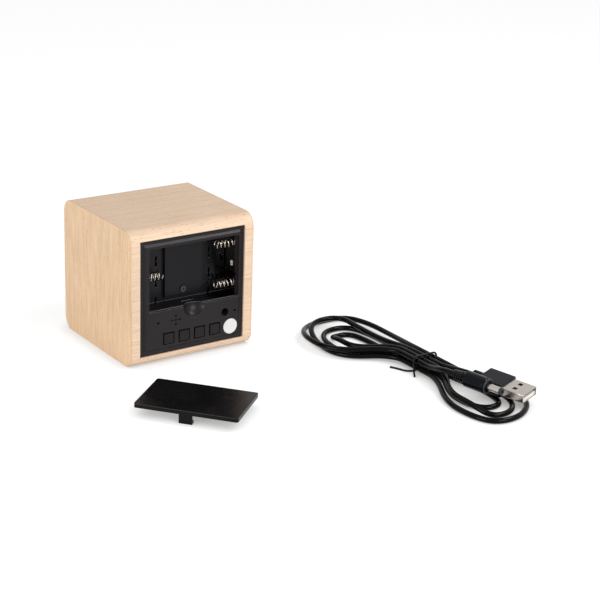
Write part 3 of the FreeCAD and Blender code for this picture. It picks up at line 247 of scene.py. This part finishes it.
def start_material(name):
    material = bpy.data.materials.new(name)
    material.use_nodes = True
    tree = material.node_tree
    return material, tree, tree.nodes["Principled BSDF"]


def new_node(tree, kind, **values):
    node = tree.nodes.new(kind)
    for key, value in values.items():
        if key in node.inputs:
            node.inputs[key].default_value = value
        else:
            setattr(node, key, value)
    return node


def feed(tree, value, socket):
    """Link a socket's value to the socket, or set a plain value on it."""
    if hasattr(value, "is_linked"):
        tree.links.new(value, socket)
    else:
        socket.default_value = value


def stretched(tree, scale):
    """Object coordinates scaled by axis."""
    place = new_node(tree, "ShaderNodeTexCoord")
    mapping = new_node(tree, "ShaderNodeMapping", Scale=scale)
    tree.links.new(place.outputs["Object"], mapping.inputs["Vector"])
    return mapping.outputs["Vector"]


def noise(tree, vector, scale, detail=2.0, rough=0.5, warp=0.0):
    node = new_node(tree, "ShaderNodeTexNoise", Scale=scale, Detail=detail, Roughness=rough, Distortion=warp)
    tree.links.new(vector, node.inputs["Vector"])
    return node.outputs["Fac"]


def ramp(tree, value, stops):
    """A colour that changes with the value between stops, each a place and a colour."""
    node = new_node(tree, "ShaderNodeValToRGB")
    for element, (place, colour) in zip(node.color_ramp.elements, stops):
        element.position = place
        element.color = colour
    tree.links.new(value, node.inputs["Fac"])
    return node.outputs["Color"]


def grey_ramp(tree, value, *stops):
    """A grey that changes with the value between two stops, each a place and a shade."""
    return ramp(tree, value, [(place, (shade, shade, shade, 1)) for place, shade in stops])


def uneven(tree, value, middle, spread):
    """A roughness that drifts with the value by the spread to each side."""
    return grey_ramp(tree, value, (0.3, middle - spread), (0.7, middle + spread))


def blend_colour(tree, share, first, second, mode="MIX"):
    node = new_node(tree, "ShaderNodeMix", data_type="RGBA", blend_type=mode)
    for socket, value in ((node.inputs[0], share), (node.inputs[6], first), (node.inputs[7], second)):
        feed(tree, value, socket)
    return node.outputs[2]


def combined(tree, operation, first, second):
    """One number worked out from two."""
    node = new_node(tree, "ShaderNodeMath", operation=operation)
    for socket, value in zip(node.inputs, (first, second)):
        feed(tree, value, socket)
    return node.outputs[0]


def rise(tree, value, start, end, most=1.0, shape="LINEAR"):
    """A share that is 0 where the value is at the start and the most where it is at the end."""
    node = new_node(tree, "ShaderNodeMapRange", interpolation_type=shape)
    for key, limit in (("From Min", start), ("From Max", end), ("To Min", 0.0), ("To Max", most)):
        node.inputs[key].default_value = limit
    tree.links.new(value, node.inputs["Value"])
    return node.outputs[0]


def rounded_normal(tree, radius):
    """A normal that shades the edges as rounded by the radius."""
    return new_node(tree, "ShaderNodeBevel", samples=8, Radius=radius).outputs["Normal"]


def edge_strip(tree, rounded, upward, most=1.0):
    """The strip beside each edge, or only where the rounded normal turns up."""
    surface = new_node(tree, "ShaderNodeNewGeometry")
    turn = new_node(tree, "ShaderNodeVectorMath", operation="SUBTRACT")
    tree.links.new(rounded, turn.inputs[0])
    tree.links.new(surface.outputs["Normal"], turn.inputs[1])
    if upward:
        size = new_node(tree, "ShaderNodeSeparateXYZ")
    else:
        size = new_node(tree, "ShaderNodeVectorMath", operation="LENGTH")
    tree.links.new(turn.outputs[0], size.inputs[0])
    return rise(tree, size.outputs["Z" if upward else "Value"], *EDGE_TURN, most)


def bump(tree, shader, height, strength, distance, base=None):
    node = new_node(tree, "ShaderNodeBump", Strength=strength, Distance=distance)
    tree.links.new(height, node.inputs["Height"])
    if base:
        tree.links.new(base, node.inputs["Normal"])
    tree.links.new(node.outputs["Normal"], shader.inputs["Normal"])


# Materials: a grain or patch scale counts features per metre

PLASTIC_GRAIN = 4200
SLOW_PATCHES = 90
VENEER_CLOUDS = 28
VENEER_FLECKS = 2600

# How much the grain and the flecks are drawn out along the wood
GRAIN_WAYS = {"X": (0.035, 1, 1), "Z": (1, 1, 0.025)}
FLECK_WAYS = {"X": (0.14, 1, 1), "Z": (1, 1, 0.14)}

# Radii that edges are shaded with
SEAM_RADIUS = 0.0004
MOULDED_RADIUS = 0.0005
PANEL_RADIUS = 0.00038

# Where painted shade darkens the panel's well along Y, where its end with two springs gets more gloss and
# deeper painted shade along X, and above which height along Z its edges get a painted highlight
WELL_SHADE_DEPTHS = (0.034, 0.031)
GLOSSY_SHADED_END = (-0.009, -0.019)
HIGHLIGHT_HEIGHTS = (0.0274, 0.0278)


def veneer_material(name, along, grain, tone, shade, fleck, bands=0.5, depth=0.75, seam=None):
    """Pale fine-grained veneer; along is the axis of the grain."""
    material, tree, shader = start_material(name)
    fine = noise(tree, stretched(tree, GRAIN_WAYS[along]), grain, 3, 0.6, 0.05)
    broad = noise(tree, stretched(tree, GRAIN_WAYS[along]), grain * bands, 2, 0.5, 0.1)
    cloudy = noise(tree, stretched(tree, ALIKE), VENEER_CLOUDS, 2)
    flecks = noise(tree, stretched(tree, FLECK_WAYS[along]), VENEER_FLECKS, 1, 0.4)
    body = blend_colour(tree, grey_ramp(tree, broad, (0.35, 0), (0.68, 1)), tone, shade)
    lines = ramp(tree, fine, [(0.3, (0.80, 0.76, 0.70, 1)), (0.52, WHITE)])
    lined = blend_colour(tree, depth, body, lines, "MULTIPLY")
    specked = blend_colour(tree, grey_ramp(tree, flecks, (0.66, 0), (0.74, 1)), WHITE, fleck)
    marked = blend_colour(tree, 0.8, lined, specked, "MULTIPLY")
    clouds = ramp(tree, cloudy, [(0.3, (0.95, 0.94, 0.93, 1)), (0.7, WHITE)])
    finished = blend_colour(tree, 1.0, marked, clouds, "MULTIPLY")
    if seam:
        strip = edge_strip(tree, rounded_normal(tree, SEAM_RADIUS), False, 0.6)
        finished = blend_colour(tree, strip, finished, seam)
    tree.links.new(finished, shader.inputs["Base Color"])
    tree.links.new(grey_ramp(tree, fine, (0.2, 0.62), (0.8, 0.46)), shader.inputs["Roughness"])
    shader.inputs["Specular IOR Level"].default_value = 0.35
    bump(tree, shader, fine, 0.12, 0.0001)
    return material


def moulded_material(name, colour, roughness, grain, relief, specular=0.5, ior=1.5, edge=None):
    """Moulded plastic with a fine even texture; edge is the colour of a painted highlight on its upper edges.
    """
    material, tree, shader = start_material(name)
    even = stretched(tree, ALIKE)
    fine = noise(tree, even, grain, 2, 0.6)
    slow = noise(tree, even, SLOW_PATCHES, 2, 0.5)
    body = blend_colour(tree, slow, dimmed(colour, 0.82, 0.82, 0.82), colour)
    rounded = None
    if edge:
        rounded = rounded_normal(tree, MOULDED_RADIUS)
        # Painted highlight on the upper edges
        body = blend_colour(tree, edge_strip(tree, rounded, True), body, edge)
    tree.links.new(body, shader.inputs["Base Color"])
    tree.links.new(uneven(tree, slow, roughness, 0.05), shader.inputs["Roughness"])
    shader.inputs["Specular IOR Level"].default_value = specular
    shader.inputs["IOR"].default_value = ior
    bump(tree, shader, fine, relief, 0.00005, rounded)
    return material


def metal_material(name, colour, roughness, relief=0.1, spread=0.06):
    """Plated metal with faint handling marks."""
    material, tree, shader = start_material(name)
    even = stretched(tree, ALIKE)
    slow = noise(tree, even, 240, 3, 0.6)
    fine = noise(tree, even, 2600, 2, 0.5)
    body = blend_colour(tree, slow, dimmed(colour, 0.86, 0.85, 0.83), colour)
    tree.links.new(body, shader.inputs["Base Color"])
    tree.links.new(uneven(tree, slow, roughness, spread), shader.inputs["Roughness"])
    shader.inputs["Metallic"].default_value = 1.0
    bump(tree, shader, fine, relief, 0.00002)
    return material


def panel_material():
    """Satin black moulding with painted shade darkening its well, more at the end with two springs, which
    also has more gloss, and a painted highlight on its upper edges.
    """
    material, tree, shader = start_material("black_plastic")
    even = stretched(tree, ALIKE)
    fine = noise(tree, even, PLASTIC_GRAIN, 2, 0.6)
    slow = noise(tree, even, SLOW_PATCHES, 2, 0.5)
    satin = blend_colour(tree, slow, srgb(26, 21, 24), srgb(32, 27, 30))
    place = new_node(tree, "ShaderNodeTexCoord")
    parts = new_node(tree, "ShaderNodeSeparateXYZ")
    tree.links.new(place.outputs["Object"], parts.inputs[0])
    well_shade = rise(tree, parts.outputs["Y"], *WELL_SHADE_DEPTHS, shape="SMOOTHSTEP")
    across = rise(tree, parts.outputs["X"], *GLOSSY_SHADED_END, shape="SMOOTHSTEP")
    gloss_and_shade = combined(tree, "MULTIPLY", across, well_shade)
    # Painted shade: the well darkens, and its end with two springs darkens further
    well = blend_colour(tree, well_shade, satin, srgb(12, 10, 15))
    shaded_panel = blend_colour(tree, gloss_and_shade, well, srgb(2, 2, 3))
    rounded = rounded_normal(tree, PANEL_RADIUS)
    above = rise(tree, parts.outputs["Z"], *HIGHLIGHT_HEIGHTS)
    painted_highlight = combined(tree, "MULTIPLY", edge_strip(tree, rounded, True), above)
    # Painted highlight: a light grey strip on the upper edges above a height
    lined = blend_colour(tree, painted_highlight, shaded_panel, srgb(112, 109, 114))
    tree.links.new(lined, shader.inputs["Base Color"])
    roughness = blend_colour(tree, gloss_and_shade, (0.36, 0.36, 0.36, 1), (0.16, 0.16, 0.16, 1))
    tree.links.new(roughness, shader.inputs["Roughness"])
    shader.inputs["Specular IOR Level"].default_value = 0.22
    bump(tree, shader, fine, 0.08, 0.00003, rounded)
    return material


def fibrous_material(name, scale, detail, rough, first, second, roughness):
    """A matt stuff of two mixed colours, and the nodes that a relief can be added to."""
    material, tree, shader = start_material(name)
    fibres = noise(tree, stretched(tree, ALIKE), scale, detail, rough)
    tree.links.new(ramp(tree, fibres, [(0.3, first), (0.7, second)]), shader.inputs["Base Color"])
    shader.inputs["Roughness"].default_value = roughness
    return material, tree, shader, fibres


def paper_material():
    """White coated paper."""
    material, tree, shader, fibres = fibrous_material(
        "sticker_paper", 1800, 3, 0.6, srgb(216, 216, 215), srgb(226, 226, 225), 0.5)
    bump(tree, shader, fibres, 0.1, 0.00003)
    return material


def fibre_board_material():
    """Bare compressed fibre board."""
    material, tree, shader, fibres = fibrous_material(
        "wood_board", 1400, 4, 0.7, srgb(176, 142, 104), srgb(206, 176, 138), 0.8)
    bump(tree, shader, fibres, 0.3, 0.0001)
    return material


def board_material():
    """Green solder mask with a faint weave under it."""
    return fibrous_material("board_green", 700, 2, 0.5, srgb(18, 70, 40), srgb(26, 92, 52), 0.35)[0]


# Softened edges: pieces, width and segments

SOFT_EDGES = [
    (["rear_panel"], 0.00038, 3),
    (["battery_cover", "button_1", "button_2", "button_3", "button_4"], 0.0003, 2),
    (["usb_overmould"], 0.0008, 3),
    (["dc_plug_body"], 0.0005, 3),
    (["dc_strain_relief"], 0.00015, 2),
    (["usb_shell", "dc_barrel", "dc_barrel_tip"], 0.00012, 2),
    (["case_wrap", "side_veneer_left", "side_veneer_right"], 0.00012, 2),
]
SHARPEST_LEFT = math.radians(40)


def dress(names, material):
    for name in names:
        slots = nodes[name].data.materials
        slots.clear()
        slots.append(material)


def soften_edges():
    """Round the sharp edges of the moulded and cut pieces."""
    for names, width, segments in SOFT_EDGES:
        for name in names:
            modifier = nodes[name].modifiers.new("edge_softening", "BEVEL")
            modifier.width = width
            modifier.segments = segments
            modifier.limit_method = "ANGLE"
            modifier.angle_limit = SHARPEST_LEFT
            modifier.harden_normals = True


def finish_case():
    dress(["case_wrap"], veneer_material(
        "wood_wrap", "X", 1900, srgb(238, 211, 185), srgb(228, 197, 168), srgb(206, 168, 134)))
    dress(["side_veneer_left", "side_veneer_right"], veneer_material(
        "wood_veneer", "Z", 2300, srgb(242, 212, 178), srgb(228, 191, 151), srgb(222, 184, 148),
        bands=0.72, depth=1.0, seam=srgb(188, 146, 104)))
    dress(["side_board_left", "side_board_right"], fibre_board_material())


def finish_rear():
    """The rear panel, its cover and keys, and the metal of the battery well."""
    dress(["rear_panel"], panel_material())
    # The cover's upper edges get a painted highlight.
    dress(["battery_cover"], moulded_material(
        "cover_plastic", srgb(8, 7, 8), 0.26, PLASTIC_GRAIN, 0.08, specular=0.14, edge=srgb(78, 73, 68)))
    dress(["button_1", "button_2", "button_3", "button_4"], moulded_material(
        "button_plastic", srgb(24, 20, 22), 0.36, PLASTIC_GRAIN, 0.12, specular=0.2))
    dress(["panel_sticker"], paper_material())
    # The spring metal is darkened as painted shade from the dark well that it reflects.
    dress(["battery_spring_top", "battery_spring_middle", "battery_spring_bottom", "dc_jack_pin"],
          metal_material("contact_metal", (0.46, 0.42, 0.37, 1), 0.2, relief=0.01, spread=0.02))
    # The plates' metal is darker still, painted shade from the dark well that they reflect.
    dress(["contact_plate_positive", "contact_plate_upper_link", "contact_plate_lower_link",
           "contact_plate_negative"],
          metal_material("plate_metal", (0.36, 0.34, 0.32, 1), 0.13, relief=0.004, spread=0.01))


def finish_inside():
    """The boards and what they carry, the display and the speaker."""
    dress(["button_switches", "reset_switch", "dc_jack", "light_box", "display_frame"], moulded_material(
        "switch_plastic", srgb(26, 25, 27), 0.5, 3000, 0.3, specular=0.35))
    dress(["panel_screw", "board_screws", "frame_screws"], metal_material(
        "screw_steel", (0.08, 0.078, 0.08, 1), 0.3))
    dress(["main_board", "display_board"], board_material())
    dress(["board_chips", "dc_barrel_tip"], moulded_material("chip_black", srgb(30, 30, 31), 0.55, 2500, 0.3))
    dress(["display_diffuser"], moulded_material("film", srgb(70, 66, 64), 0.3, 1500, 0.1))
    dress(["display_leds"], moulded_material("lamp", srgb(236, 234, 224), 0.3, 900, 0.1))
    dress(["microphone", "speaker_frame", "speaker_magnet"], metal_material(
        "speaker_metal", (0.45, 0.45, 0.44, 1), 0.4))
    dress(["speaker_cone"], moulded_material("paper_cone", srgb(34, 33, 34), 0.75, 1500, 0.6))
    dress(["ribbon_cable"], moulded_material("ribbon_grey", srgb(150, 150, 152), 0.5, 1500, 0.2))


def finish_lead():
    """The plugs and the tie; returns the finishes of the cord and of the round plug's lip, which is lightened
    as a painted highlight.
    """
    dress(["twist_tie"], moulded_material("tie_black", srgb(6, 6, 8), 0.3, 1500, 0.1, specular=0.15))
    # The plugs' upper edges get a painted highlight.
    dress(["dc_strain_relief", "dc_plug_body", "usb_overmould"], moulded_material(
        "plug_black", srgb(6, 8, 15), 0.22, 3000, 0.05, ior=1.2, edge=srgb(74, 76, 84)))
    dress(["dc_barrel", "usb_shell"], metal_material("plug_metal", (0.50, 0.465, 0.43, 1), 0.24, relief=0.02))
    dress(["usb_tongue"], moulded_material("tongue_white", srgb(228, 226, 220), 0.45, 2500, 0.15))
    dress(["usb_contacts"], metal_material("gold", (0.85, 0.64, 0.28, 1), 0.25))
    # The lip's lighter colour is a painted highlight on the ring round the plug's front.
    lip_highlight = moulded_material("lip_painted_highlight", srgb(40, 43, 50), 0.25, 3000, 0.05, ior=1.35)
    sheath = moulded_material("cord_black", srgb(2, 2, 4), 0.15, 2200, 0.02, ior=1.19)
    return sheath, lip_highlight


# Floor, backdrop and light

FLOOR_SIZE = 6.0
FLOOR_COLOUR = (0.97, 0.97, 0.97, 1)
FLOOR_WHITE_SHARE = 0.65
FLOOR_WHITE_STRENGTH = 1.25
CONTACT_REACH = 0.012
CONTACT_SHADE = (0.35, 0.34, 0.33, 1)
SKY_STRENGTH = 0.34

# Each softbox: name, place, aim, size and power
SOFTBOXES = [
    ("key", (-0.20, 1.15, 0.50), (0, 0, 0.03), (0.6, 0.5), 7.5),
    ("side", (1.15, 0.20, 0.30), (0, 0, 0.03), (0.6, 0.4), 6.2),
    ("edge", (-0.62, 0.40, 0.86), (-0.03, 0.05, 0), (0.30, 0.30), 3.8),
]


def white_to_the_eye(tree, shade, surface, share, strength, contact=0.0):
    """Mix a shader with plain white for rays that show the backdrop, straight or in a reflection.

    Within the contact distance of a standing thing the white dims, a painted contact shadow.
    """
    path = new_node(tree, "ShaderNodeLightPath").outputs
    shown = combined(tree, "MAXIMUM", path["Is Camera Ray"], path["Is Glossy Ray"])
    shown = combined(tree, "MAXIMUM", shown, path["Is Transmission Ray"])
    plain = new_node(tree, "ShaderNodeEmission", Strength=strength)
    if contact:
        # Painted contact shadow: the white darkens near standing things
        near = new_node(tree, "ShaderNodeAmbientOcclusion", Distance=contact, samples=16)
        contact_shadow = ramp(tree, near.outputs["AO"], [(0.0, CONTACT_SHADE), (0.9, WHITE)])
        tree.links.new(contact_shadow, plain.inputs["Color"])
    mix = new_node(tree, "ShaderNodeMixShader")
    tree.links.new(combined(tree, "MULTIPLY", shown, share), mix.inputs[0])
    tree.links.new(shade, mix.inputs[1])
    tree.links.new(plain.outputs[0], mix.inputs[2])
    tree.links.new(mix.outputs[0], surface)


def floor():
    bpy.ops.mesh.primitive_plane_add(size=FLOOR_SIZE)
    plane = bpy.context.object
    plane.name = "floor"
    material, tree, shader = start_material("floor_white")
    shader.inputs["Base Color"].default_value = FLOOR_COLOUR
    shader.inputs["Roughness"].default_value = 0.9
    shader.inputs["Specular IOR Level"].default_value = 0.1
    surface = tree.nodes["Material Output"].inputs["Surface"]
    white_to_the_eye(tree, shader.outputs[0], surface, FLOOR_WHITE_SHARE, FLOOR_WHITE_STRENGTH, CONTACT_REACH)
    plane.data.materials.append(material)


def world():
    sky = bpy.data.worlds.new("studio")
    bpy.context.scene.world = sky
    sky.use_nodes = True
    tree = sky.node_tree
    background = tree.nodes["Background"]
    background.inputs["Color"].default_value = WHITE
    background.inputs["Strength"].default_value = SKY_STRENGTH
    white_to_the_eye(tree, background.outputs[0], tree.nodes["World Output"].inputs["Surface"], 1.0, 1.0)


def softbox(name, place, target, size, power):
    data = bpy.data.lights.new(name, "AREA")
    data.shape = "RECTANGLE"
    data.size, data.size_y = size
    data.energy = power
    lamp = bpy.data.objects.new(name, data)
    bpy.context.scene.collection.objects.link(lamp)
    lamp.matrix_world = facing(place, Vector(target) - Vector(place), "-Z")


place_camera()
finish_case()
finish_rear()
finish_inside()
sheath, lip_highlight = finish_lead()
soften_edges()
supply_lead(sheath, plug_lip(lip_highlight))
floor()
world()
for box in SOFTBOXES:
    softbox(*box)
bpy.context.scene.view_settings.view_transform = "Standard"
